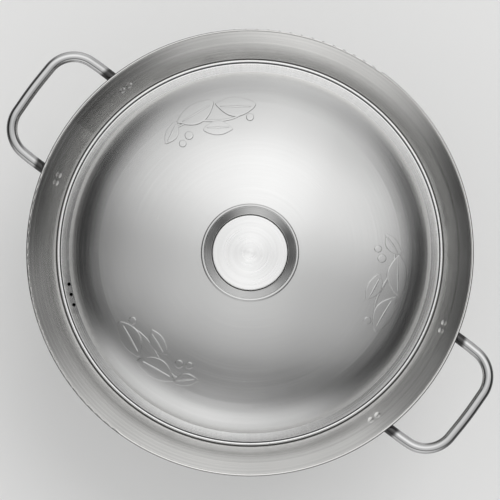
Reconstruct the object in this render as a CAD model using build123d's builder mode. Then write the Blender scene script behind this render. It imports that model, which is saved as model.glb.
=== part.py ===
from build123d import *

import os
from math import asin, atan2, cos, degrees, hypot, radians, sin, sqrt, tan

# Stainless water bath canner: a deep drawn pot whose flared collar stands above a lid seat, a domed
# lid with a cup knob, and a wire jar rack with two folding bails.  Millimetres, +Z up.  The origin is
# the centre of the underside of the base, and +X points through one loop handle.

# ---- driving dimensions ------------------------------------------------------------------------

SHEET = 0.8  # pot wall
BODY_GAP = 0.3  # space left between pieces that move apart

POT_BORE_R = 158.5
POT_CORNER_R = 13.2  # inside the pot, floor to wall
SEAT_Z = 238.0  # ledge that carries the lid
SEAT_R = 163.0  # where the ledge turns up into the collar
RIM_Z = 255.2
RIM_R = 188.0
HEM_R = 1.1  # half the thickness of the folded rim

CORE_R = 144.0  # heat spreading disc under the floor
CORE_T = 5.0
CAP_SHEET = 0.6
CORE_EDGE_R = 1.9

ROD_R = 4.55
GRIP_X = 228.5  # centre line of a loop handle's grip
LEG_Y = 48.2  # half the distance between its legs
LOOP_TILT = 8.0  # degrees upwards from the feet to the grip
FOOT_R = 174.7  # centre of each weld plate, under the collar
FOOT_DROP = 3.2  # from there down to the rod's centre line
PLATE_W = 24.0
PLATE_H = 13.0
PLATE_T = 1.6

LID_SHEET = 0.7
LID_BEAD_R = 1.3
LID_BEAD_X = 162.2
FLANGE_DROP = 0.5  # how far the flange's outer edge lies below the top of the bead
FLANGE_EDGE_R = 159.9
DOME_FOOT = (153.1, 3.7)  # radius, height above the flange's outer edge
DOME_SHOULDER = (139.0, 14.2)
DOME_CROWN = (84.0, 39.3)
DOME_H = 46.4
PAD_R = 33.0  # flat on top for the knob
VENT_R = 1.5
VENT_CIRCLE_R = 155.4
VENT_ANGLES = [46.9, 50.2, 53.5]

KNOB_SHEET = 1.0
KNOB_FLOOR_R = 29.6
KNOB_WAIST = (31.1, 22.8)  # radius, height above the knob's underside where the cup flares out
KNOB_LIP_X = 38.1
KNOB_LIP_R = 1.6
KNOB_H = 26.0
DISC_R = 30.7
DISC_H = 22.2  # top of the cover disc above the knob's underside
DISC_SHEET = 0.6

SCREW_R = 3.0
SCREW_LENGTH = 11.5
HEAD_R = 6.0
HEAD_T = 3.4
CLEARANCE_R = 3.2
SEAL_R, SEAL_T = 9.0, 1.5
LOCK_R, LOCK_T = 5.6, 1.4
NUT_FLATS, NUT_T = 10.0, 5.0

WIRE_R = 2.0
FLOOR_RING_RADII = [30.0, 78.0, 132.0]
HUB_RING_R = 50.5
UPPER_RING_R = 142.0
UPRIGHT_R = 152.0
RACK_H = 99.0  # from the floor wires up to the divider wires
DIVIDERS = 6
FIRST_DIVIDER = 30.0  # degrees from +X
BAIL_LEG_Y = 30.0
BAIL_LENGTH = 98.0
BAIL_END_Y = 41.0
LUG_Y = 37.5
LUG_T = 3.0
LUG_R = 4.6
PIN_CLEARANCE = 0.08

# ---- heights that follow -----------------------------------------------------------------------

floor_under = CAP_SHEET + CORE_T
floor_top = floor_under + SHEET
collar_run = RIM_R - HEM_R - SEAT_R
collar_rise = RIM_Z - HEM_R - SEAT_Z
collar_angle = atan2(collar_rise, collar_run) + asin(SHEET / 2 / hypot(collar_run, collar_rise))
bead_z = SEAT_Z + BODY_GAP + LID_BEAD_R
flange_top = bead_z + LID_BEAD_R - FLANGE_DROP
pad_top = flange_top + DOME_H
spoke_z = floor_top + BODY_GAP + WIRE_R
floor_ring_z = spoke_z + 2 * WIRE_R
divider_z = spoke_z + RACK_H
upper_ring_z = divider_z + 2 * WIRE_R
pivot_x = sqrt(UPPER_RING_R**2 - LUG_Y**2)
pivot_z = upper_ring_z + 5.5

os.makedirs("parts", exist_ok=True)


def save(piece, name):
    """Label a finished piece and write its STEP file."""
    piece.part.label = name
    export_step(piece.part, f"parts/{name}.step")


def collar_r(z):
    """Radius of the collar's outer surface at height z."""
    return SEAT_R + SHEET / sin(collar_angle) + (z - SEAT_Z) / tan(collar_angle)


def across(line, at):
    """Plane square to a line at one of its ends."""
    return Plane(origin=line @ at, z_dir=line % at)


# ---- pot ---------------------------------------------------------------------------------------

foot_x = sqrt(FOOT_R**2 - LEG_Y**2)
foot_z = SEAT_Z + (FOOT_R - SEAT_R) * tan(collar_angle) - SHEET / cos(collar_angle)
foot_angle = degrees(atan2(LEG_Y, foot_x))

with BuildPart() as pot_shell:
    with BuildSketch(Plane.XZ):
        with BuildLine():
            FilletPolyline(
                (0, floor_top),
                (POT_BORE_R, floor_top),
                (POT_BORE_R, SEAT_Z),
                (SEAT_R, SEAT_Z),
                (
                    RIM_R - HEM_R - SHEET / 2 * sin(collar_angle),
                    RIM_Z - HEM_R + SHEET / 2 * cos(collar_angle),
                ),
                radius=[POT_CORNER_R, 1.5, 1.0],
            )
            offset(amount=SHEET, side=Side.RIGHT)
        make_face()
        with Locations((RIM_R - HEM_R, RIM_Z - HEM_R)):
            Circle(HEM_R)
    revolve(axis=Axis.Z)
    # Two shallow spot weld marks inside the collar over each handle foot.
    mark_r, mark_depth, mark_spread = 12.0, 0.3, 1.15
    mark_centre_r = FOOT_R - (SHEET + mark_r - mark_depth) * sin(collar_angle)
    mark_centre_z = foot_z + (SHEET + mark_r - mark_depth) * cos(collar_angle)
    for handle_angle in (0, 180):
        for foot in (foot_angle, -foot_angle):
            for spread in (mark_spread, -mark_spread):
                a = radians(handle_angle + foot + spread)
                with Locations((mark_centre_r * cos(a), mark_centre_r * sin(a), mark_centre_z)):
                    Sphere(mark_r, mode=Mode.SUBTRACT)
save(pot_shell, "pot_shell")

with BuildPart() as base_core_disc:
    with Locations((0, 0, CAP_SHEET)):
        Cylinder(CORE_R, CORE_T, align=(Align.CENTER, Align.CENTER, Align.MIN))
    fillet(base_core_disc.edges().filter_by(GeomType.CIRCLE).sort_by(Axis.Z)[0], CORE_EDGE_R)
save(base_core_disc, "base_core_disc")

with BuildPart() as base_cap:
    with BuildSketch(Plane.XZ):
        with BuildLine():
            FilletPolyline(
                (0, CAP_SHEET),
                (CORE_R, CAP_SHEET),
                (CORE_R, floor_under),
                radius=CORE_EDGE_R,
            )
            offset(amount=CAP_SHEET, side=Side.RIGHT)
        make_face()
    revolve(axis=Axis.Z)
save(base_cap, "base_cap")

# ---- loop handles ------------------------------------------------------------------------------

foot_planes = []
for side in (1, -1):
    a = radians(side * foot_angle)
    foot_planes.append(
        Plane(
            origin=(foot_x, side * LEG_Y, foot_z),
            x_dir=(-sin(a), cos(a), 0),
            z_dir=(cos(a) * sin(collar_angle), sin(a) * sin(collar_angle), -cos(collar_angle)),
        )
    )

with BuildPart() as right_weld_plates:
    for foot_plane in foot_planes:
        with BuildSketch(foot_plane.offset(-1.0)):
            RectangleRounded(PLATE_W, PLATE_H, 5)
        extrude(amount=PLATE_T + 1.0)
    # The backs of the plates follow the collar.
    with BuildSketch(Plane.XZ):
        Polygon(
            (0, SEAT_Z - 20),
            (collar_r(SEAT_Z - 20), SEAT_Z - 20),
            (collar_r(RIM_Z + 20), RIM_Z + 20),
            (0, RIM_Z + 20),
            align=None,
        )
    revolve(axis=Axis.Z, mode=Mode.SUBTRACT)
save(right_weld_plates, "right_weld_plates")

with BuildPart() as left_weld_plates:
    add(right_weld_plates.part.rotate(Axis.Z, 180))
save(left_weld_plates, "left_weld_plates")

tilt = radians(LOOP_TILT)
loop_plane = Plane(
    origin=(foot_x, 0, foot_z - FOOT_DROP),
    x_dir=(cos(tilt), 0, sin(tilt)),
    z_dir=(-sin(tilt), 0, cos(tilt)),
)
reach = (GRIP_X - foot_x) / cos(tilt)

with BuildPart() as right_handle:
    with BuildLine(loop_plane) as loop:
        FilletPolyline(
            (-5, LEG_Y),
            (28, LEG_Y),
            (reach - 1.6, LEG_Y - 1.5),
            (reach + 0.3, 0),
            (reach - 1.6, -LEG_Y + 1.5),
            (28, -LEG_Y),
            (-5, -LEG_Y),
            radius=[60, 26, 300, 26, 60],
        )
    with BuildSketch(across(loop.line, 0)):
        Circle(ROD_R)
    sweep()
    for foot_plane in foot_planes:
        with BuildSketch(foot_plane.offset(PLATE_T)):
            Rectangle(60, 60)
        extrude(amount=-40, mode=Mode.SUBTRACT)
save(right_handle, "right_handle")

with BuildPart() as left_handle:
    add(right_handle.part.rotate(Axis.Z, 180))
save(left_handle, "left_handle")

# ---- lid ---------------------------------------------------------------------------------------

with BuildPart() as lid_shell:
    with BuildSketch(Plane.XZ):
        with BuildLine():
            FilletPolyline(
                (0, pad_top),
                (PAD_R, pad_top),
                (DOME_CROWN[0], flange_top + DOME_CROWN[1]),
                (DOME_SHOULDER[0], flange_top + DOME_SHOULDER[1]),
                (DOME_FOOT[0], flange_top + DOME_FOOT[1]),
                (FLANGE_EDGE_R, flange_top),
                (LID_BEAD_X, flange_top),
                radius=[40, 300, 130, 1.5, 1.5],
            )
            offset(amount=LID_SHEET, side=Side.RIGHT)
        make_face()
        with Locations((LID_BEAD_X, bead_z)):
            Circle(LID_BEAD_R)
    revolve(axis=Axis.Z)
    with Locations((0, 0, pad_top)):
        Cylinder(CLEARANCE_R, 4, mode=Mode.SUBTRACT)
    for vent_angle in VENT_ANGLES:
        a = radians(vent_angle)
        with Locations((VENT_CIRCLE_R * cos(a), VENT_CIRCLE_R * sin(a), flange_top)):
            Cylinder(VENT_R, 10, mode=Mode.SUBTRACT)
save(lid_shell, "lid_shell")

# ---- knob --------------------------------------------------------------------------------------

cup_floor = pad_top + KNOB_SHEET

with BuildPart() as knob_cup:
    with BuildSketch(Plane.XZ):
        with BuildLine():
            FilletPolyline(
                (0, cup_floor),
                (KNOB_FLOOR_R, cup_floor),
                (KNOB_WAIST[0], pad_top + KNOB_WAIST[1]),
                (KNOB_LIP_X - KNOB_LIP_R, pad_top + KNOB_H),
                radius=[2, 1.2],
            )
            offset(amount=KNOB_SHEET, side=Side.RIGHT)
        make_face()
        with Locations((KNOB_LIP_X, pad_top + KNOB_H)):
            Circle(KNOB_LIP_R)
    revolve(axis=Axis.Z)
    with Locations((0, 0, cup_floor)):
        Cylinder(CLEARANCE_R, 4, mode=Mode.SUBTRACT)
save(knob_cup, "knob_cup")

with BuildPart() as knob_cover_disc:
    with BuildSketch(Plane.XZ):
        with BuildLine():
            FilletPolyline(
                (0, pad_top + DISC_H),
                (DISC_R, pad_top + DISC_H),
                (KNOB_FLOOR_R - 3, cup_floor),
                radius=1,
            )
            offset(amount=DISC_SHEET, side=Side.RIGHT)
        make_face()
    revolve(axis=Axis.Z)
    # The skirt is cut off flat where it stands on the cup's floor.
    with Locations((0, 0, cup_floor)):
        Cylinder(40, 5, align=(Align.CENTER, Align.CENTER, Align.MAX), mode=Mode.SUBTRACT)
save(knob_cover_disc, "knob_cover_disc")

with BuildPart() as knob_screw:
    with Locations((0, 0, cup_floor)):
        Cylinder(HEAD_R, HEAD_T, align=(Align.CENTER, Align.CENTER, Align.MIN))
        fillet(knob_screw.edges().filter_by(GeomType.CIRCLE).sort_by(Axis.Z)[-1], 1.4)
        Cylinder(SCREW_R, SCREW_LENGTH, align=(Align.CENTER, Align.CENTER, Align.MAX))
    with Locations((0, 0, cup_floor + HEAD_T)):
        Box(7, 1.2, 3, mode=Mode.SUBTRACT)
        Box(1.2, 7, 3, mode=Mode.SUBTRACT)
    chamfer(knob_screw.edges().filter_by(GeomType.CIRCLE).sort_by(Axis.Z)[0], 0.5)
save(knob_screw, "knob_screw")

seal_z = pad_top - LID_SHEET - SEAL_T
lock_z = seal_z - LOCK_T
nut_z = lock_z - NUT_T

with BuildPart() as knob_seal_washer:
    with BuildSketch(Plane.XY.offset(seal_z)):
        Circle(SEAL_R)
        Circle(SCREW_R, mode=Mode.SUBTRACT)
    extrude(amount=SEAL_T)
save(knob_seal_washer, "knob_seal_washer")

with BuildPart() as knob_lock_washer:
    with BuildSketch(Plane.XY.offset(lock_z)):
        Circle(LOCK_R)
        Circle(SCREW_R + 0.1, mode=Mode.SUBTRACT)
        with Locations((LOCK_R - 1, 0)):
            Rectangle(4, 0.8, rotation=20, mode=Mode.SUBTRACT)
    extrude(amount=LOCK_T)
save(knob_lock_washer, "knob_lock_washer")

with BuildPart() as knob_nut:
    with BuildSketch(Plane.XY.offset(nut_z)):
        RegularPolygon(NUT_FLATS / 2, 6, major_radius=False)
        Circle(SCREW_R, mode=Mode.SUBTRACT)
    extrude(amount=NUT_T)
save(knob_nut, "knob_nut")

# ---- jar rack ----------------------------------------------------------------------------------

with BuildPart() as divider_wire:
    with BuildLine(Plane.XZ) as divider:
        FilletPolyline(
            (FLOOR_RING_RADII[0] - 4, spoke_z),
            (UPRIGHT_R, spoke_z),
            (UPRIGHT_R, divider_z),
            (HUB_RING_R - 4, divider_z),
            radius=[12, 7],
        )
    with BuildSketch(across(divider.line, 0)):
        Circle(WIRE_R)
    sweep()

with BuildPart() as rack_dividers:
    with PolarLocations(0, DIVIDERS, start_angle=FIRST_DIVIDER):
        add(divider_wire.part)
save(rack_dividers, "rack_dividers")

with BuildPart() as rack_floor_rings:
    with Locations((0, 0, floor_ring_z)):
        for ring_r in FLOOR_RING_RADII:
            Torus(ring_r, WIRE_R)
save(rack_floor_rings, "rack_floor_rings")

with BuildPart() as rack_hub_ring:
    with Locations((0, 0, upper_ring_z)):
        Torus(HUB_RING_R, WIRE_R)
save(rack_hub_ring, "rack_hub_ring")

with BuildPart() as rack_upper_ring:
    with Locations((0, 0, upper_ring_z)):
        Torus(UPPER_RING_R, WIRE_R)
save(rack_upper_ring, "rack_upper_ring")

with BuildPart() as rack_bail_lugs:
    for end in (1, -1):
        for side in (1, -1):
            with BuildSketch(Plane.XZ.offset(-side * LUG_Y - LUG_T / 2)):
                with Locations((end * pivot_x, pivot_z)):
                    Circle(LUG_R)
                with Locations((end * pivot_x, (upper_ring_z + pivot_z) / 2)):
                    Rectangle(2 * LUG_R, pivot_z - upper_ring_z)
                with Locations((end * pivot_x, pivot_z)):
                    Circle(WIRE_R + PIN_CLEARANCE, mode=Mode.SUBTRACT)
            extrude(amount=LUG_T)
    with Locations((0, 0, upper_ring_z)):
        Torus(UPPER_RING_R, WIRE_R, mode=Mode.SUBTRACT)
save(rack_bail_lugs, "rack_bail_lugs")

with BuildPart() as rack_right_bail:
    with BuildLine(Plane.XY.offset(pivot_z)) as bail:
        FilletPolyline(
            (pivot_x, BAIL_END_Y),
            (pivot_x, BAIL_LEG_Y),
            (pivot_x - BAIL_LENGTH, BAIL_LEG_Y),
            (pivot_x - BAIL_LENGTH, -BAIL_LEG_Y),
            (pivot_x, -BAIL_LEG_Y),
            (pivot_x, -BAIL_END_Y),
            radius=[4, 14, 14, 4],
        )
    with BuildSketch(across(bail.line, 0)):
        Circle(WIRE_R)
    sweep()
save(rack_right_bail, "rack_right_bail")

with BuildPart() as rack_left_bail:
    add(rack_right_bail.part.rotate(Axis.Z, 180))
save(rack_left_bail, "rack_left_bail")
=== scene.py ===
import math

import bpy
from bpy.props import FloatProperty, FloatVectorProperty, IntProperty, PointerProperty
from bpy.types import Operator, Panel, PropertyGroup
from mathutils import Matrix, Vector


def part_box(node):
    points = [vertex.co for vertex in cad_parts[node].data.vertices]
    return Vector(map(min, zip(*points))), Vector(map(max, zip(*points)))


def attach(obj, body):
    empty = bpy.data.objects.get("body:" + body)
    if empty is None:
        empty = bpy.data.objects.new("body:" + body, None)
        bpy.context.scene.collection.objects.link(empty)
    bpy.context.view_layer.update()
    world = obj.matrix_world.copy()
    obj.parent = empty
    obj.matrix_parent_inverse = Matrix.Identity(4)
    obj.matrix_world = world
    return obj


bl_info = {
    "name": "Water bath canner",
    "version": (1, 0, 0),
    "blender": (4, 5, 0),
    "location": "View3D > Sidebar > Canner",
    "description": "Adds finishes, embossing, welds and a studio to a stainless water bath canner",
    "category": "Add Mesh",
}

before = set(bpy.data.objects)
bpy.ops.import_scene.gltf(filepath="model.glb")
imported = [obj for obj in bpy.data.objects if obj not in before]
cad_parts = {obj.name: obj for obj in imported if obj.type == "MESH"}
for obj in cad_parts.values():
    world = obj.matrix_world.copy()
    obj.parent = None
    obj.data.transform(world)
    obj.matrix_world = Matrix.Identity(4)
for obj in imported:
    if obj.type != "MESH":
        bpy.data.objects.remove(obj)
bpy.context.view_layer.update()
LID_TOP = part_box("lid_shell")[1].z
RIM_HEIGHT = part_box("pot_shell")[1].z

MM = 0.001
SPOKE_COUNT = 420.0
BUMP_DEPTH = 0.0002
SMUDGE_ROUGHNESS = 0.035
EDGE_SMOOTHING = 0.06
GRAIN_TURN = 0.25  # turns the stretched highlights across the brush lines
# painted crevice shade: the near-black of the dark rings round the lid's edge bead, at the collar's
# seat and at the rim
CREVICE_SHADE_BLACK = (0.02, 0.02, 0.02)
# painted shade: the near-black of the collar's shadow and the reflection of its underside on the
# handle rods' ends
COLLAR_SHADE_BLACK = (0.016, 0.015, 0.015)
FLOOR_GAP = 0.0002
SUNK = 0.00012  # depth of a sprig's foot inside the dome
FLOOR_RING_RADII = (0.030, 0.078, 0.132)
UPPER_RING_RADII = (0.0505, 0.142)  # the hub ring and the upper ring
RACK_SPOKES = 6
RACK_FIRST = 30  # degrees from +X to the first divider


# ---- settings ----------------------------------------------------------------------------------


def colour(name, description, value):
    """A linear colour setting."""
    return FloatVectorProperty(
        name=name, description=description, default=value, subtype="COLOR", size=3, min=0, max=1
    )


def length(name, description, value):
    """A length setting in metres."""
    return FloatProperty(name=name, description=description, default=value, unit="LENGTH", min=0)


def amount(name, description, value, top=1.0):
    """A plain number setting."""
    return FloatProperty(name=name, description=description, default=value, min=0, max=top)


class CannerFinishSettings(PropertyGroup):
    """Colours and roughnesses of the finishes"""

    pot_colour: colour("Pot steel", "Colour of the brushed pot and collar", (0.78, 0.775, 0.76))
    lid_colour: colour("Lid steel", "Colour of the satin lid", (0.70, 0.70, 0.695))
    knob_colour: colour("Knob steel", "Colour of the knob's cup", (0.66, 0.66, 0.655))
    disc_colour: colour("Disc steel", "Colour of the spun cover disc", (0.94, 0.94, 0.935))
    rod_colour: colour("Rod", "Colour of the polished loop handles", (0.62, 0.62, 0.62))
    wire_colour: colour("Wire", "Colour of the plated rack wire", (0.66, 0.67, 0.68))
    core_colour: colour("Core", "Colour of the heat spreading disc", (0.72, 0.72, 0.73))
    rubber_colour: colour("Seal", "Colour of the rubber washer", (0.018, 0.018, 0.02))
    brushed_roughness: amount("Brushed roughness", "Roughness of the pot", 0.13)
    satin_roughness: amount("Satin roughness", "Roughness of the lid", 0.21)
    polish_roughness: amount("Polished roughness", "Roughness of the loop handles", 0.03)
    flange_colour: colour("Flange", "Colour of the lid's polished flange", (0.96, 0.96, 0.955))
    flange_roughness: amount("Flange roughness", "Roughness of the lid's flange", 0.26)
    flange_start: length("Flange start", "Radius where the dome turns into the flange", 0.1528)
    grain_lines: amount("Grain", "Brush lines per metre across the grain", 900.0, 5000.0)


class CannerSprigSettings(PropertyGroup):
    """Sizes and places of the embossed sprigs"""

    relief: length("Relief", "Height of the embossed sprigs above the dome", 0.0009)
    edge: length("Edge", "Width of the rounded edge of the relief", 0.0005)
    circle: length("Circle", "Radius of the circle that the sprigs follow", 0.117)
    leaf: length("Leaf", "Length of one leaf", 0.034)
    berry: length("Berry", "Radius of one berry", 0.0036)
    rib: length("Rib", "Width of the rib along a leaf", 0.0016)
    stem: length("Stem", "Length of a sprig's stem", 0.074)
    stem_width: length("Stem width", "Width of a sprig's stem", 0.0022)
    first: FloatProperty(
        name="First",
        description="Direction of the first sprig, from +X",
        default=math.radians(-36),
        subtype="ANGLE",
    )
    count: IntProperty(name="Sprigs", description="Number of sprigs round the dome", default=3, min=1)


class CannerWeldSettings(PropertyGroup):
    """Sizes of the welds and of what they join"""

    bead: length("Bead", "Thickness of the weld bead round a handle foot", 0.0017)
    ripples: IntProperty(name="Ripples", description="Ripples round one bead", default=26, min=0)
    nub: length("Nub", "Radius of the weld where two rack wires cross", 0.0022)
    wire: length("Wire", "Radius of the rack wire", 0.002)
    foot_y: length("Foot", "Distance of a handle foot from the pot's middle plane", 0.0482)
    rod_side: length("Rod side", "Distance of a bead from the middle of the rod", 0.0048)
    plate: length("Plate", "Thickness of a weld plate", 0.0016)
    run: length("Run", "Length of a bead along the rod", 0.014)
    collar_slope: FloatProperty(
        name="Collar slope",
        description="Slope of the collar",
        default=math.radians(34.8),
        subtype="ANGLE",
    )
    rod_rise: FloatProperty(
        name="Rod rise",
        description="Angle of the handles above the floor",
        default=math.radians(8),
        subtype="ANGLE",
    )


class CannerStageSettings(PropertyGroup):
    """The camera and the floor"""

    camera_above_rim: length("Camera height", "Height of the camera above the rim", 1.5)
    camera_off_centre: length("Camera offset", "Distance of the camera from the pot's axis", 0.0022)
    lens: FloatProperty(name="Lens", description="Focal length in millimetres", default=128.7, min=1)
    turn: FloatProperty(
        name="Turn",
        description="Turn of the camera about its own axis",
        default=math.radians(-143),
        subtype="ANGLE",
    )
    floor: length("Floor", "Width of the floor", 26.0)
    floor_colour: colour("Floor", "Colour of the floor", (0.78, 0.78, 0.775))


# ---- materials ---------------------------------------------------------------------------------


class Wiring:
    """Adds nodes to a material or node group and links them."""

    def __init__(self, tree):
        self.tree = tree

    def node(self, kind, settings=None, **inputs):
        """Adds a node, with its settings and what goes into its sockets."""
        made = self.tree.nodes.new(kind)
        for key, value in (settings or {}).items():
            setattr(made, key, value)
        for key, value in inputs.items():
            self.put(made.inputs[key.replace("_", " ")], value)
        return made

    def put(self, socket, value):
        """Links a socket into another, or sets it to a constant."""
        if isinstance(value, bpy.types.NodeSocket):
            self.tree.links.new(value, socket)
        elif isinstance(value, tuple) and len(value) == 3 and socket.type == "RGBA":
            socket.default_value = (*value, 1.0)
        else:
            socket.default_value = value

    def math(self, operation, a, b=0.0):
        made = self.node("ShaderNodeMath", {"operation": operation})
        self.put(made.inputs[0], a)
        self.put(made.inputs[1], b)
        return made.outputs[0]

    def between(self, value, low, high, to_low=0.0, to_high=1.0):
        """Eases from to_low to to_high as a value goes from low to high."""
        made = self.node("ShaderNodeMapRange", {"interpolation_type": "SMOOTHSTEP"}, Value=value)
        for index, number in enumerate((low, high, to_low, to_high), 1):
            made.inputs[index].default_value = number
        return made.outputs[0]

    def mix(self, share, a, b):
        """Mixes colour a with a share of colour b."""
        made = self.node("ShaderNodeMix", {"data_type": "RGBA"})
        self.put(made.inputs[0], share)
        self.put(made.inputs[6], a)
        self.put(made.inputs[7], b)
        return made.outputs[2]

    def scaled(self, vector, scale):
        made = self.node("ShaderNodeVectorMath", {"operation": "SCALE"}, Scale=scale)
        self.put(made.inputs[0], vector)
        return made.outputs[0]

    def noise(self, vector, scale, detail=2.0, roughness=0.5, distortion=0.0):
        made = self.node("ShaderNodeTexNoise", Scale=scale, Detail=detail, Roughness=roughness)
        self.put(made.inputs["Vector"], vector)
        made.inputs["Distortion"].default_value = distortion
        return made.outputs["Fac"]


def new_group(name, numbers, outputs):
    """A new shader node group with number inputs: its wiring, input node and output node."""
    tree = bpy.data.node_groups.new(name, "ShaderNodeTree")
    for label, default in numbers:
        socket = tree.interface.new_socket(label, in_out="INPUT", socket_type="NodeSocketFloat")
        socket.default_value = default
    for label in outputs:
        tree.interface.new_socket(label, in_out="OUTPUT", socket_type="NodeSocketFloat")
    w = Wiring(tree)
    return w, w.node("NodeGroupInput"), w.node("NodeGroupOutput")


def lathe_grain_group():
    """Brush lines that run round the Z axis, fine and broad, radial spokes, and the radius itself."""
    w, given, result = new_group(
        "lathe_grain",
        [("Lines", 900.0), ("Sweep", 2.0), ("Rise", 1.0)],
        ["Fine", "Bands", "Spokes", "Height", "Radius"],
    )
    place = w.node("ShaderNodeTexCoord").outputs["Object"]
    parts = w.node("ShaderNodeSeparateXYZ", Vector=place)
    flat = w.node("ShaderNodeCombineXYZ", X=parts.outputs["X"], Y=parts.outputs["Y"])
    measured = w.node("ShaderNodeVectorMath", {"operation": "LENGTH"})
    w.put(measured.inputs[0], flat.outputs[0])
    radius = measured.outputs["Value"]
    heading = w.node("ShaderNodeVectorMath", {"operation": "NORMALIZE"})
    w.put(heading.inputs[0], flat.outputs[0])
    round_parts = w.node("ShaderNodeSeparateXYZ", Vector=heading.outputs[0])
    risen = w.math("MULTIPLY", parts.outputs["Z"], given.outputs["Rise"])
    along = w.math("ADD", radius, risen)
    turn_x = w.math("MULTIPLY", round_parts.outputs["X"], given.outputs["Sweep"])
    turn_y = w.math("MULTIPLY", round_parts.outputs["Y"], given.outputs["Sweep"])

    def lines(share, detail):
        step = w.math("MULTIPLY", along, w.math("MULTIPLY", given.outputs["Lines"], share))
        vector = w.node("ShaderNodeCombineXYZ", X=step, Y=turn_x, Z=turn_y)
        return w.noise(vector.outputs[0], 1.0, detail, 0.45)

    fine, bands = lines(1.0, 1.5), lines(0.5, 1.0)
    height = w.math("ADD", w.math("MULTIPLY", fine, 0.7), w.math("MULTIPLY", bands, 0.3))
    w.put(result.inputs["Fine"], fine)
    w.put(result.inputs["Bands"], bands)
    w.put(result.inputs["Spokes"], w.noise(w.scaled(heading.outputs[0], SPOKE_COUNT), 1.0, 1.0))
    w.put(result.inputs["Height"], height)
    w.put(result.inputs["Radius"], radius)


def handling_group():
    """Soft smudges, a fine mottle and sparse specks left by handling."""
    w, given, result = new_group("handling", [("Size", 1.0)], ["Smudge", "Mottle", "Specks"])
    place = w.node("ShaderNodeTexCoord").outputs["Object"]
    at = w.scaled(place, given.outputs["Size"])
    w.put(result.inputs["Smudge"], w.between(w.noise(at, 9.0, 3.0, 0.55, 0.4), 0.38, 0.68))
    w.put(result.inputs["Mottle"], w.noise(at, 520.0, 2.0, 0.6))
    cells = w.node("ShaderNodeTexVoronoi", {"feature": "F1"}, Scale=70.0, Vector=at)
    w.put(result.inputs["Specks"], w.between(cells.outputs["Distance"], 0.05, 0.02))


def edge_polish_group():
    """Turns a mesh's pointiness into a mask of its rubbed, brighter edges."""
    w, given, result = new_group("edge_polish", [("Pointiness", 0.5), ("Breakup", 0.5)], ["Edge"])
    sharp = w.between(given.outputs["Pointiness"], 0.52, 0.60)
    broken = w.between(given.outputs["Breakup"], 0.25, 0.6)
    w.put(result.inputs["Edge"], w.math("MULTIPLY", sharp, broken))


def use_group(w, name, **inputs):
    """Places a node group and gives its outputs."""
    made = w.node("ShaderNodeGroup", {"node_tree": bpy.data.node_groups[name]}, **inputs)
    return made.outputs


def blank_material(name):
    """A new material: itself, its wiring and its Principled shader."""
    material = bpy.data.materials.new(name)
    material.use_nodes = True
    w = Wiring(material.node_tree)
    shader = material.node_tree.nodes["Principled BSDF"]
    return material, w, shader


def ring_mask(w, radius, inner, outer, soft):
    """1 between two radii in mm, with soft edges."""
    rise = w.between(radius, (inner - soft) * MM, (inner + soft) * MM)
    fall = w.between(radius, (outer + soft) * MM, (outer - soft) * MM)
    return w.math("MULTIPLY", rise, fall)


def lighter(colour, factor):
    """A colour times a factor, no brighter than white."""
    return tuple(min(1.0, part * factor) for part in colour)


def set_bump(w, shader, strength, height):
    """Wires a height into the shader's normal."""
    relief = w.node("ShaderNodeBump", Strength=strength, Distance=BUMP_DEPTH, Height=height)
    w.put(shader.inputs["Normal"], relief.outputs[0])


def turned_steel(
    name, base, roughness, lines, rise, sweep, anisotropy, bump, contrast, shade_rings=(), polish=None
):
    """Steel brushed on a lathe: lines round the axis stretch what it reflects across them.

    Brush lines per metre are counted over radius plus height times rise, and wander by sweep.
    Rings of painted crevice shade are given as inner and outer radius in mm and depth; polish is a
    brighter ring that starts at a radius in mm (radius, colour, roughness).
    """
    material, w, shader = blank_material(name)
    grain = use_group(w, "lathe_grain", Lines=lines, Sweep=sweep, Rise=rise)
    marks = use_group(w, "handling", Size=1.0)
    point = w.node("ShaderNodeNewGeometry").outputs["Pointiness"]
    edge = use_group(w, "edge_polish", Pointiness=point, Breakup=grain["Bands"])["Edge"]
    light = lighter(base, 1 + contrast)
    tone = w.mix(w.between(grain["Bands"], 0.3, 0.7), lighter(base, 1 - contrast), light)
    tone = w.mix(w.between(grain["Fine"], 0.3, 0.75, 0.0, 0.35), tone, light)
    tone = w.mix(w.math("MULTIPLY", edge, 0.5), tone, lighter(base, 1.15))
    rough = w.between(grain["Fine"], 0.25, 0.75, roughness * 0.85, roughness * 1.15)
    rough = w.math("ADD", rough, w.math("MULTIPLY", marks["Smudge"], SMUDGE_ROUGHNESS))
    rough = w.math("SUBTRACT", rough, w.math("MULTIPLY", edge, EDGE_SMOOTHING))
    if polish:
        start, bright, smooth = polish
        ring = ring_mask(w, grain["Radius"], start, 400, 0.25)
        streaked = w.mix(w.between(grain["Spokes"], 0.35, 0.65), lighter(bright, 0.9), bright)
        tone = w.mix(ring, tone, streaked)
        rough = w.math("ADD", rough, w.math("MULTIPLY", ring, smooth - roughness))
    # painted crevice shade: darkens the base colour inside each listed ring
    for inner, outer, depth in shade_rings:
        shade = w.math("MULTIPLY", ring_mask(w, grain["Radius"], inner, outer, 0.2), depth)
        tone = w.mix(shade, tone, CREVICE_SHADE_BLACK)
    w.put(shader.inputs["Base Color"], tone)
    w.put(shader.inputs["Roughness"], rough)
    shader.inputs["Metallic"].default_value = 1.0
    shader.inputs["Anisotropic"].default_value = anisotropy
    shader.inputs["Anisotropic Rotation"].default_value = GRAIN_TURN
    tangent = w.node("ShaderNodeTangent", {"direction_type": "RADIAL", "axis": "Z"})
    w.put(shader.inputs["Tangent"], tangent.outputs[0])
    set_bump(w, shader, bump, grain["Height"])
    return material


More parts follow.
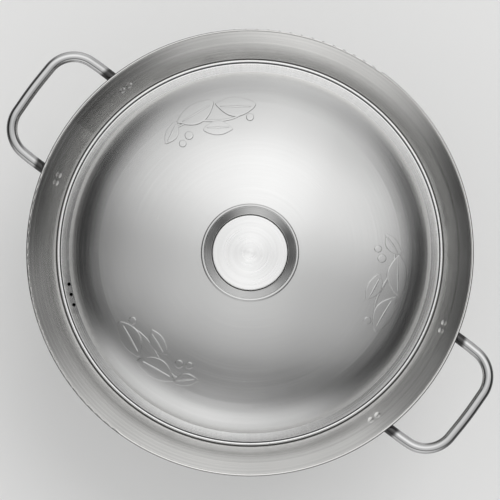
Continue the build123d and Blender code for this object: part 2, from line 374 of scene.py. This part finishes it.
def polished_steel(name, base, roughness, mottle, bump, collar_shade_within=0):
    """Smooth bright steel with faint handling marks, with painted shade from the collar within a
    radius in mm.
    """
    material, w, shader = blank_material(name)
    marks = use_group(w, "handling", Size=2.0)
    point = w.node("ShaderNodeNewGeometry").outputs["Pointiness"]
    edge = use_group(w, "edge_polish", Pointiness=point, Breakup=marks["Mottle"])["Edge"]
    tone = w.mix(marks["Mottle"], lighter(base, 1 - mottle), base)
    tone = w.mix(w.math("MULTIPLY", edge, 0.4), tone, lighter(base, 1.1))
    # painted shade: the rods darken towards black within the radius, where the collar shades them
    if collar_shade_within:
        radius = use_group(w, "lathe_grain")["Radius"]
        collar_shade = w.between(radius, (collar_shade_within + 2) * MM, (collar_shade_within - 2) * MM, 0.0, 0.9)
        tone = w.mix(collar_shade, tone, COLLAR_SHADE_BLACK)
    w.put(shader.inputs["Base Color"], tone)
    rough = w.math("ADD", w.math("MULTIPLY", marks["Smudge"], 0.05), roughness)
    w.put(shader.inputs["Roughness"], w.math("ADD", rough, w.math("MULTIPLY", marks["Specks"], 0.1)))
    shader.inputs["Metallic"].default_value = 1.0
    set_bump(w, shader, bump, marks["Mottle"])
    return material


def seal_rubber(name, base):
    """Matt rubber with a little bloom."""
    material, w, shader = blank_material(name)
    marks = use_group(w, "handling", Size=3.0)
    tone = w.mix(w.math("MULTIPLY", marks["Smudge"], 0.4), base, lighter(base, 2.4))
    w.put(shader.inputs["Base Color"], tone)
    w.put(shader.inputs["Roughness"], w.between(marks["Mottle"], 0.2, 0.8, 0.62, 0.8))
    set_bump(w, shader, 0.3, marks["Mottle"])
    return material


def dress(material, *nodes):
    """Puts one material on CAD nodes."""
    for node in nodes:
        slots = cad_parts[node].data.materials
        slots.clear()
        slots.append(material)


class CANNER_OT_finishes(Operator):
    """Make the steel, wire and rubber finishes and put them on the CAD nodes"""

    bl_idname = "canner.finishes"
    bl_label = "Finishes"

    def execute(self, context):
        s = context.scene.canner_finish
        lathe_grain_group()
        handling_group()
        edge_polish_group()
        lines = s.grain_lines
        pot = turned_steel(
            "pot_brushed",
            tuple(s.pot_colour),
            s.brushed_roughness,
            lines=lines,
            rise=1.0,
            sweep=0.35,
            anisotropy=0.2,
            bump=0.03,
            contrast=0.06,
            # painted crevice shade rings at the collar's seat and at the rim
            shade_rings=((163.2, 164.6, 0.6), (187.2, 189.0, 0.6)),
        )
        lid = turned_steel(
            "lid_satin",
            tuple(s.lid_colour),
            s.satin_roughness,
            lines=lines * 1.6,
            rise=-1.0,
            sweep=0.6,
            anisotropy=0.2,
            bump=0.002,
            contrast=0.006,
            # painted crevice shade rings either side of the lid's edge bead
            shade_rings=((160.2, 161.4, 0.95), (163.1, 164.5, 0.6)),
            polish=(s.flange_start / MM, tuple(s.flange_colour), s.flange_roughness),
        )
        cup = turned_steel(
            "knob_satin",
            tuple(s.knob_colour),
            0.20,
            lines=lines * 1.5,
            rise=1.0,
            sweep=0.6,
            anisotropy=0.3,
            bump=0.02,
            contrast=0.03,
        )
        disc = turned_steel(
            "disc_spun",
            tuple(s.disc_colour),
            0.30,
            lines=lines * 1.2,
            rise=0.0,
            sweep=0.4,
            anisotropy=0.8,
            bump=0.12,
            contrast=0.03,
        )
        core = turned_steel(
            "core_turned",
            tuple(s.core_colour),
            0.45,
            lines=lines,
            rise=1.0,
            sweep=2.0,
            anisotropy=0.6,
            bump=0.3,
            contrast=0.08,
        )
        rod = polished_steel(
            "rod_polished",
            tuple(s.rod_colour),
            s.polish_roughness,
            mottle=0.04,
            bump=0.02,
            # painted shade on the rod ends, up to just outside the rim
            collar_shade_within=196,
        )
        wire = polished_steel("wire_plated", tuple(s.wire_colour), 0.16, mottle=0.08, bump=0.08)
        screw = polished_steel("fastener_plain", tuple(s.wire_colour), 0.28, mottle=0.1, bump=0.1)
        polished_steel("weld_bright", tuple(s.pot_colour), 0.32, mottle=0.16, bump=0.25)
        dress(pot, "pot_shell", "base_cap", "left_weld_plates", "right_weld_plates")
        dress(lid, "lid_shell")
        dress(cup, "knob_cup")
        dress(disc, "knob_cover_disc")
        dress(rod, "left_handle", "right_handle")
        dress(core, "base_core_disc")
        dress(screw, "knob_screw", "knob_lock_washer", "knob_nut")
        dress(seal_rubber("seal_matt", tuple(s.rubber_colour)), "knob_seal_washer")
        dress(
            wire,
            "rack_dividers",
            "rack_floor_rings",
            "rack_hub_ring",
            "rack_upper_ring",
            "rack_bail_lugs",
            "rack_left_bail",
            "rack_right_bail",
        )
        return {"FINISHED"}


# ---- pieces ------------------------------------------------------------------------------------


def select_only(*objects):
    """Selects these objects and makes the first one active."""
    bpy.ops.object.select_all(action="DESELECT")
    for one in objects:
        one.select_set(True)
    bpy.context.view_layer.objects.active = objects[0]


def finish_modifier(piece, kind, **settings):
    """Adds one modifier, sets it and applies it."""
    select_only(piece)
    modifier = piece.modifiers.new(kind.lower(), kind)
    for key, value in settings.items():
        setattr(modifier, key, value)
    bpy.ops.object.modifier_apply(modifier=modifier.name)


def shape_vertices(piece, move):
    """Moves every vertex of a piece to where move puts it."""
    for vertex in piece.data.vertices:
        vertex.co = move(vertex.co)
    piece.data.update()


def place(piece, matrix):
    """Puts a piece's place into its mesh."""
    piece.data.transform(matrix)
    piece.data.update()


def join(pieces, name, material, body):
    """Joins pieces into one, with one material, that rides on a body."""
    select_only(*pieces)
    bpy.ops.object.join()
    joined = bpy.context.object
    joined.name = joined.data.name = name
    joined.data.materials.clear()
    joined.data.materials.append(bpy.data.materials[material])
    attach(joined, body)


def in_edit_mode(operator, **settings):
    """Runs one operator on all of the active object's mesh in edit mode."""
    bpy.ops.object.mode_set(mode="EDIT")
    bpy.ops.mesh.select_all(action="SELECT")
    operator(**settings)
    bpy.ops.object.mode_set(mode="OBJECT")


def filled_disc(points, radius):
    """A flat disc of even quads, centred on the origin."""
    bpy.ops.object.select_all(action="DESELECT")
    bpy.ops.mesh.primitive_circle_add(vertices=points, radius=radius, fill_type="NOTHING")
    in_edit_mode(bpy.ops.mesh.fill_grid, span=points // 4, offset=points // 8, use_interp_simple=True)
    return bpy.context.object


def leaf_blank(length, width, curl):
    """A pointed, slightly curved leaf outline with its tip towards +X."""
    piece = filled_disc(48, 0.5)

    def move(co):
        along = max(-1.0, min(1.0, co.x * 2))
        taper = 0.62 + 0.38 * (1 - along * along) - 0.30 * max(0.0, along) ** 3
        bend = curl * length * along * along
        return Vector((along * length / 2, co.y * width * taper + bend, 0))

    shape_vertices(piece, move)
    return piece


def stem_blank(length, width, wave):
    """A thin winding strip along X."""
    bpy.ops.object.select_all(action="DESELECT")
    bpy.ops.mesh.primitive_grid_add(x_subdivisions=56, y_subdivisions=2, size=1)
    piece = bpy.context.object

    def move(co):
        along = co.x * 2
        across = co.y * width * (1 - 0.45 * abs(along))
        return Vector((along * length / 2, across + wave * math.sin(along * 3.4), 0))

    shape_vertices(piece, move)
    return piece


def press_into_dome(piece, relief, edge, heading, circle):
    """Lays a flat outline on the dome and raises it by the relief, with rounded edges."""
    out = Vector((math.cos(heading), math.sin(heading), 0))
    side = Vector((-out.y, out.x, 0))
    turned = Matrix((side, out, (0, 0, 1))).transposed().to_4x4()
    place(piece, Matrix.Translation(out * circle + Vector((0, 0, LID_TOP + 0.01))) @ turned)
    finish_modifier(
        piece,
        "SHRINKWRAP",
        wrap_method="PROJECT",
        use_project_z=True,
        use_negative_direction=True,
        use_positive_direction=False,
        target=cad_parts["lid_shell"],
    )
    for vertex in piece.data.vertices:
        vertex.co.z -= SUNK
    if sum(face.normal.z for face in piece.data.polygons) < 0:
        select_only(piece)
        in_edit_mode(bpy.ops.mesh.flip_normals)
    finish_modifier(piece, "SOLIDIFY", thickness=relief + SUNK, offset=1.0)
    finish_modifier(
        piece,
        "BEVEL",
        width=edge,
        segments=3,
        limit_method="ANGLE",
        angle_limit=math.radians(50),
    )
    select_only(piece)
    bpy.ops.object.shade_smooth()
    finish_modifier(piece, "WEIGHTED_NORMAL", keep_sharp=False, weight=60)


LEAF_CURL = 0.06  # sideways bend of a leaf's tips over its length
STEM_WAVE = 0.0032
STEM_RISE = 0.7  # height of a stem over that of a leaf
RIB_RISE = 1.45  # height of a rib over that of a leaf
RIB_SHARE = 0.74  # length of a rib over that of its leaf
# One sprig: shape, place along the circle and outwards in mm, turn in degrees, size.
SPRIG = (
    ("leaf", -24, 3, 18, 1.0),
    ("leaf", 9, 7, -14, 1.05),
    ("leaf", -5, -10, 196, 0.72),
    ("leaf", 33, -3, -48, 0.62),
    ("berry", 20, -9, 0, 1.0),
    ("berry", 27, -14, 0, 0.85),
    ("berry", -33, -9, 0, 0.9),
    ("stem", 0, -2, 2, 1.0),
)


class CANNER_OT_sprigs(Operator):
    """Raise the leaf and berry sprigs round the dome"""

    bl_idname = "canner.sprigs"
    bl_label = "Sprigs"

    def execute(self, context):
        s = context.scene.canner_sprig
        for index in range(s.count):
            heading = s.first + index * math.tau / s.count
            shapes = []
            for kind, along, outward, turn, size in SPRIG:
                if kind == "leaf":
                    outlines = [
                        (leaf_blank(s.leaf * size, s.leaf * 0.5 * size, LEAF_CURL), 1.0),
                        (stem_blank(s.leaf * RIB_SHARE * size, s.rib, 0), RIB_RISE),
                    ]
                elif kind == "berry":
                    outlines = [(filled_disc(16, s.berry * size), 1.0)]
                else:
                    outlines = [(stem_blank(s.stem * size, s.stem_width, STEM_WAVE), STEM_RISE)]
                spot = Matrix.Translation((along * MM, outward * MM, 0))
                for piece, rise in outlines:
                    place(piece, spot @ Matrix.Rotation(math.radians(turn), 4, "Z"))
                    press_into_dome(piece, s.relief * rise, s.edge, heading, s.circle)
                    shapes.append(piece)
            join(shapes, f"lid_sprig_{index + 1}", "lid_satin", "lid")
        return {"FINISHED"}


def weld_run(length, radius, ripples):
    """A rounded weld bead along X with the ripples of its passes."""
    bpy.ops.object.select_all(action="DESELECT")
    bpy.ops.mesh.primitive_uv_sphere_add(segments=14, ring_count=28, radius=1)
    piece = bpy.context.object

    def move(co):
        swell = 1 + 0.10 * math.cos(co.z * ripples)
        return Vector((co.z * length / 2, co.x * radius * swell, co.y * radius * 0.8 * swell))

    shape_vertices(piece, move)
    bpy.ops.object.shade_smooth()
    return piece


class CANNER_OT_handle_welds(Operator):
    """Run a weld bead along both sides of each handle foot"""

    bl_idname = "canner.handle_welds"
    bl_label = "Handle welds"

    def execute(self, context):
        s = context.scene.canner_weld
        for side, name in ((1, "right"), (-1, "left")):
            low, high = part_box(f"{name}_weld_plates")
            plate = Vector((abs(low.x + high.x) / 2, s.foot_y, (low.z + high.z) / 2))
            rod = Vector((math.cos(s.rod_rise), 0, math.sin(s.rod_rise)))
            beads = []
            for half in (1, -1):
                around = half * math.atan2(plate.y, plate.x)
                out = Vector((math.cos(around), math.sin(around), 0)) * math.sin(s.collar_slope)
                out.z = -math.cos(s.collar_slope)
                along = (rod - out * rod.dot(out)).normalized()
                across = out.cross(along)
                laid = Matrix((along, across, out)).transposed().to_4x4()
                middle = Vector((plate.x, half * plate.y, plate.z))
                face = middle + out * s.plate / 2 - along * s.bead
                for edge in (1, -1):
                    bead = weld_run(s.run, s.bead, s.ripples)
                    place(bead, Matrix.Translation(face + across * edge * s.rod_side) @ laid)
                    place(bead, Matrix.Rotation(0 if side > 0 else math.pi, 4, "Z"))
                    beads.append(bead)
            join(beads, f"{name}_handle_welds", "weld_bright", "pot")
        return {"FINISHED"}


class CANNER_OT_rack_welds(Operator):
    """Fuse the rack's wires where they cross"""

    bl_idname = "canner.rack_welds"
    bl_label = "Rack welds"

    def execute(self, context):
        s = context.scene.canner_weld
        wire_low, wire_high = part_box("rack_dividers")
        levels = (
            (wire_low.z + 2 * s.wire, FLOOR_RING_RADII),
            (wire_high.z, UPPER_RING_RADII),
        )
        nubs = []
        for height, radii in levels:
            for radius in radii:
                for step in range(RACK_SPOKES):
                    heading = math.radians(RACK_FIRST + 360 * step / RACK_SPOKES)
                    bpy.ops.object.select_all(action="DESELECT")
                    bpy.ops.mesh.primitive_uv_sphere_add(segments=14, ring_count=8, radius=s.nub)
                    nub = context.object
                    in_edit_mode(bpy.ops.transform.resize, value=(1.15, 0.95, 0.5))
                    bpy.ops.object.shade_smooth()
                    turned = Matrix.Rotation(heading, 4, "Z")
                    place(nub, turned @ Matrix.Translation((radius, 0, height)))
                    nubs.append(nub)
        join(nubs, "rack_wire_welds", "wire_plated", "rack")
        return {"FINISHED"}


# ---- stage -------------------------------------------------------------------------------------


def soft_light(name, azimuth, height, distance, size, radiance):
    """A rectangular light aimed at the pot, placed by compass angle and angle above the floor."""
    flat = math.cos(height)
    heading = Vector((math.cos(azimuth) * flat, math.sin(azimuth) * flat, math.sin(height)))
    spot = Vector((0, 0, RIM_HEIGHT)) + heading * distance
    turned = heading.to_track_quat("Z", "Y").to_euler()
    bpy.ops.object.light_add(type="AREA", location=spot, rotation=turned)
    light = bpy.context.object
    light.name = name
    light.data.shape = "RECTANGLE"
    light.data.size, light.data.size_y = size
    light.data.energy = radiance * math.pi * size[0] * size[1]
    return light


# Brightness of the studio along its long axis: angle from overhead, in degrees, and radiance.
TUNNEL = (
    (-180, 0.30),
    (-125, 0.42),
    (-96, 0.66),
    (-80, 0.74),
    (-70, 1.18),
    (-61, 0.80),
    (-52, 0.26),
    (-43, 0.24),
    (-32, 0.62),
    (-20, 0.78),
    (-5, 0.82),
    (6, 1.05),
    (20, 1.38),
    (32, 1.38),
    (50, 0.98),
    (66, 0.64),
    (80, 0.84),
    (96, 0.70),
    (125, 0.42),
    (180, 0.30),
)
# Share of that brightness across the studio: from one dark side at -1 to the other at 1.
ACROSS = (
    (-1.0, 0.0),
    (-0.90, 0.06),
    (-0.81, 0.40),
    (-0.60, 0.67),
    (-0.30, 0.88),
    (0.0, 1.0),
    (0.20, 0.93),
    (0.40, 0.76),
    (0.62, 0.69),
    (0.82, 0.48),
    (0.91, 0.07),
    (1.0, 0.0),
)


LOW_SIDE_SHADE = 0.75  # how much darker the two sides are near the floor
STUDIO_GREY = (0.82, 0.82, 0.82)
TUNNEL_AXIS = math.radians(77.5)  # from the camera's right
FILL = {"height": math.radians(62), "distance": 3.4, "size": (1.6, 1.6), "radiance": 4.1}
FILL_AZIMUTH = math.radians(62)  # from the camera's right


def light_ramp(w, factor, stops, low, high, scale):
    """A colour ramp over factor, from low to high, that puts out the stops' values."""
    at = w.math("DIVIDE", w.math("SUBTRACT", factor, low), high - low)
    ramp = w.node("ShaderNodeValToRGB", Fac=at)
    ramp.color_ramp.interpolation = "EASE"
    elements = ramp.color_ramp.elements
    while len(elements) < len(stops):
        elements.new(0.5)
    for element, (where, value) in zip(elements, stops):
        element.position = (where - low) / (high - low)
        element.color = (value / scale, value / scale, value / scale, 1)
    return w.math("MULTIPLY", ramp.outputs["Color"], scale)


def studio_world(context, axis):
    """A soft light tunnel that runs over the pot along one compass direction, with dark sides."""
    world = bpy.data.worlds.new("studio")
    context.scene.world = world
    world.use_nodes = True
    w = Wiring(world.node_tree)
    back = world.node_tree.nodes["Background"]
    heading = w.node("ShaderNodeTexCoord").outputs["Generated"]

    def part(direction):
        made = w.node("ShaderNodeVectorMath", {"operation": "DOT_PRODUCT"})
        w.put(made.inputs[0], heading)
        made.inputs[1].default_value = direction
        return made.outputs["Value"]

    forward = part((math.cos(axis), math.sin(axis), 0))
    right = part((math.sin(axis), -math.cos(axis), 0))
    height = part((0, 0, 1))
    tilt = w.math("DEGREES", w.math("ARCTAN2", forward, height))
    along = light_ramp(w, tilt, TUNNEL, -180, 180, 2.0)
    lit = w.math("MULTIPLY", along, light_ramp(w, right, ACROSS, -1, 1, 1.0))
    side = w.math("MAXIMUM", w.between(right, 0.40, 0.80), w.between(right, -0.55, -0.85))
    low_side = w.math("MULTIPLY", side, w.between(height, 0.64, 0.44))
    kept = w.math("SUBTRACT", 1.0, w.math("MULTIPLY", low_side, LOW_SIDE_SHADE))
    from_floor = w.between(height, 0.05, -0.35, 0.02, 0.15)
    tunnel = w.math("ADD", w.math("MULTIPLY", lit, kept), from_floor)
    glossy = w.node("ShaderNodeCombineColor")
    for socket in glossy.inputs[:3]:
        w.put(socket, tunnel)
    path = w.node("ShaderNodeLightPath")
    seen = w.mix(path.outputs["Is Glossy Ray"], STUDIO_GREY, glossy.outputs[0])
    w.put(back.inputs["Color"], seen)


class CANNER_OT_stage(Operator):
    """Add the floor, the soft lights and the camera"""

    bl_idname = "canner.stage"
    bl_label = "Stage"

    def execute(self, context):
        s = context.scene.canner_stage
        bpy.ops.object.select_all(action="DESELECT")
        bpy.ops.mesh.primitive_plane_add(size=s.floor, location=(0, 0, -FLOOR_GAP))
        floor = context.object
        floor.name = "floor"
        floor.visible_glossy = False
        material, w, shader = blank_material("floor_pale")
        drift = w.noise(w.node("ShaderNodeTexCoord").outputs["Object"], 0.8, 2.0)
        pale = tuple(s.floor_colour)
        w.put(shader.inputs["Base Color"], w.mix(drift, pale, tuple(c * 0.97 for c in pale)))
        shader.inputs["Roughness"].default_value = 0.7
        floor.data.materials.append(material)

        fill = soft_light("floor_fill", s.turn + FILL_AZIMUTH, **FILL)
        fill.visible_glossy = False
        studio_world(context, s.turn + TUNNEL_AXIS)

        up = Vector((-math.sin(s.turn), math.cos(s.turn), 0))
        spot = up * s.camera_off_centre + Vector((0, 0, RIM_HEIGHT + s.camera_above_rim))
        bpy.ops.object.camera_add(location=spot, rotation=(0, 0, s.turn))
        camera = context.object
        camera.data.lens = s.lens
        camera.data.sensor_width = 36.0
        camera.data.clip_end = 50.0
        context.scene.camera = camera
        context.scene.view_settings.view_transform = "Standard"
        return {"FINISHED"}


class CANNER_PT_panel(Panel):
    """Lists the canner's build steps"""

    bl_idname = "CANNER_PT_panel"
    bl_label = "Water bath canner"
    bl_space_type = "VIEW_3D"
    bl_region_type = "UI"
    bl_category = "Canner"

    def draw(self, context):
        layout = self.layout
        for step in STEPS:
            layout.operator(step.bl_idname)
        for settings in SETTINGS:
            box = layout.box()
            group = getattr(context.scene, settings)
            for name in group.__annotations__:
                box.prop(group, name)


STEPS = (
    CANNER_OT_finishes,
    CANNER_OT_sprigs,
    CANNER_OT_handle_welds,
    CANNER_OT_rack_welds,
    CANNER_OT_stage,
)
SETTINGS = {
    "canner_finish": CannerFinishSettings,
    "canner_sprig": CannerSprigSettings,
    "canner_weld": CannerWeldSettings,
    "canner_stage": CannerStageSettings,
}


def register():
    """Registers the settings, the build steps and the panel."""
    for group in SETTINGS.values():
        bpy.utils.register_class(group)
    for name, group in SETTINGS.items():
        setattr(bpy.types.Scene, name, PointerProperty(type=group))
    for made in (*STEPS, CANNER_PT_panel):
        bpy.utils.register_class(made)


def unregister():
    """Takes away what register added."""
    for made in reversed((*STEPS, CANNER_PT_panel)):
        bpy.utils.unregister_class(made)
    for name, group in SETTINGS.items():
        delattr(bpy.types.Scene, name)
        bpy.utils.unregister_class(group)


def main():
    """Builds the canner's looks and its stage."""
    register()
    bpy.ops.canner.finishes()
    bpy.ops.canner.sprigs()
    bpy.ops.canner.handle_welds()
    bpy.ops.canner.rack_welds()
    bpy.ops.canner.stage()


if __name__ == "__main__":
    main()
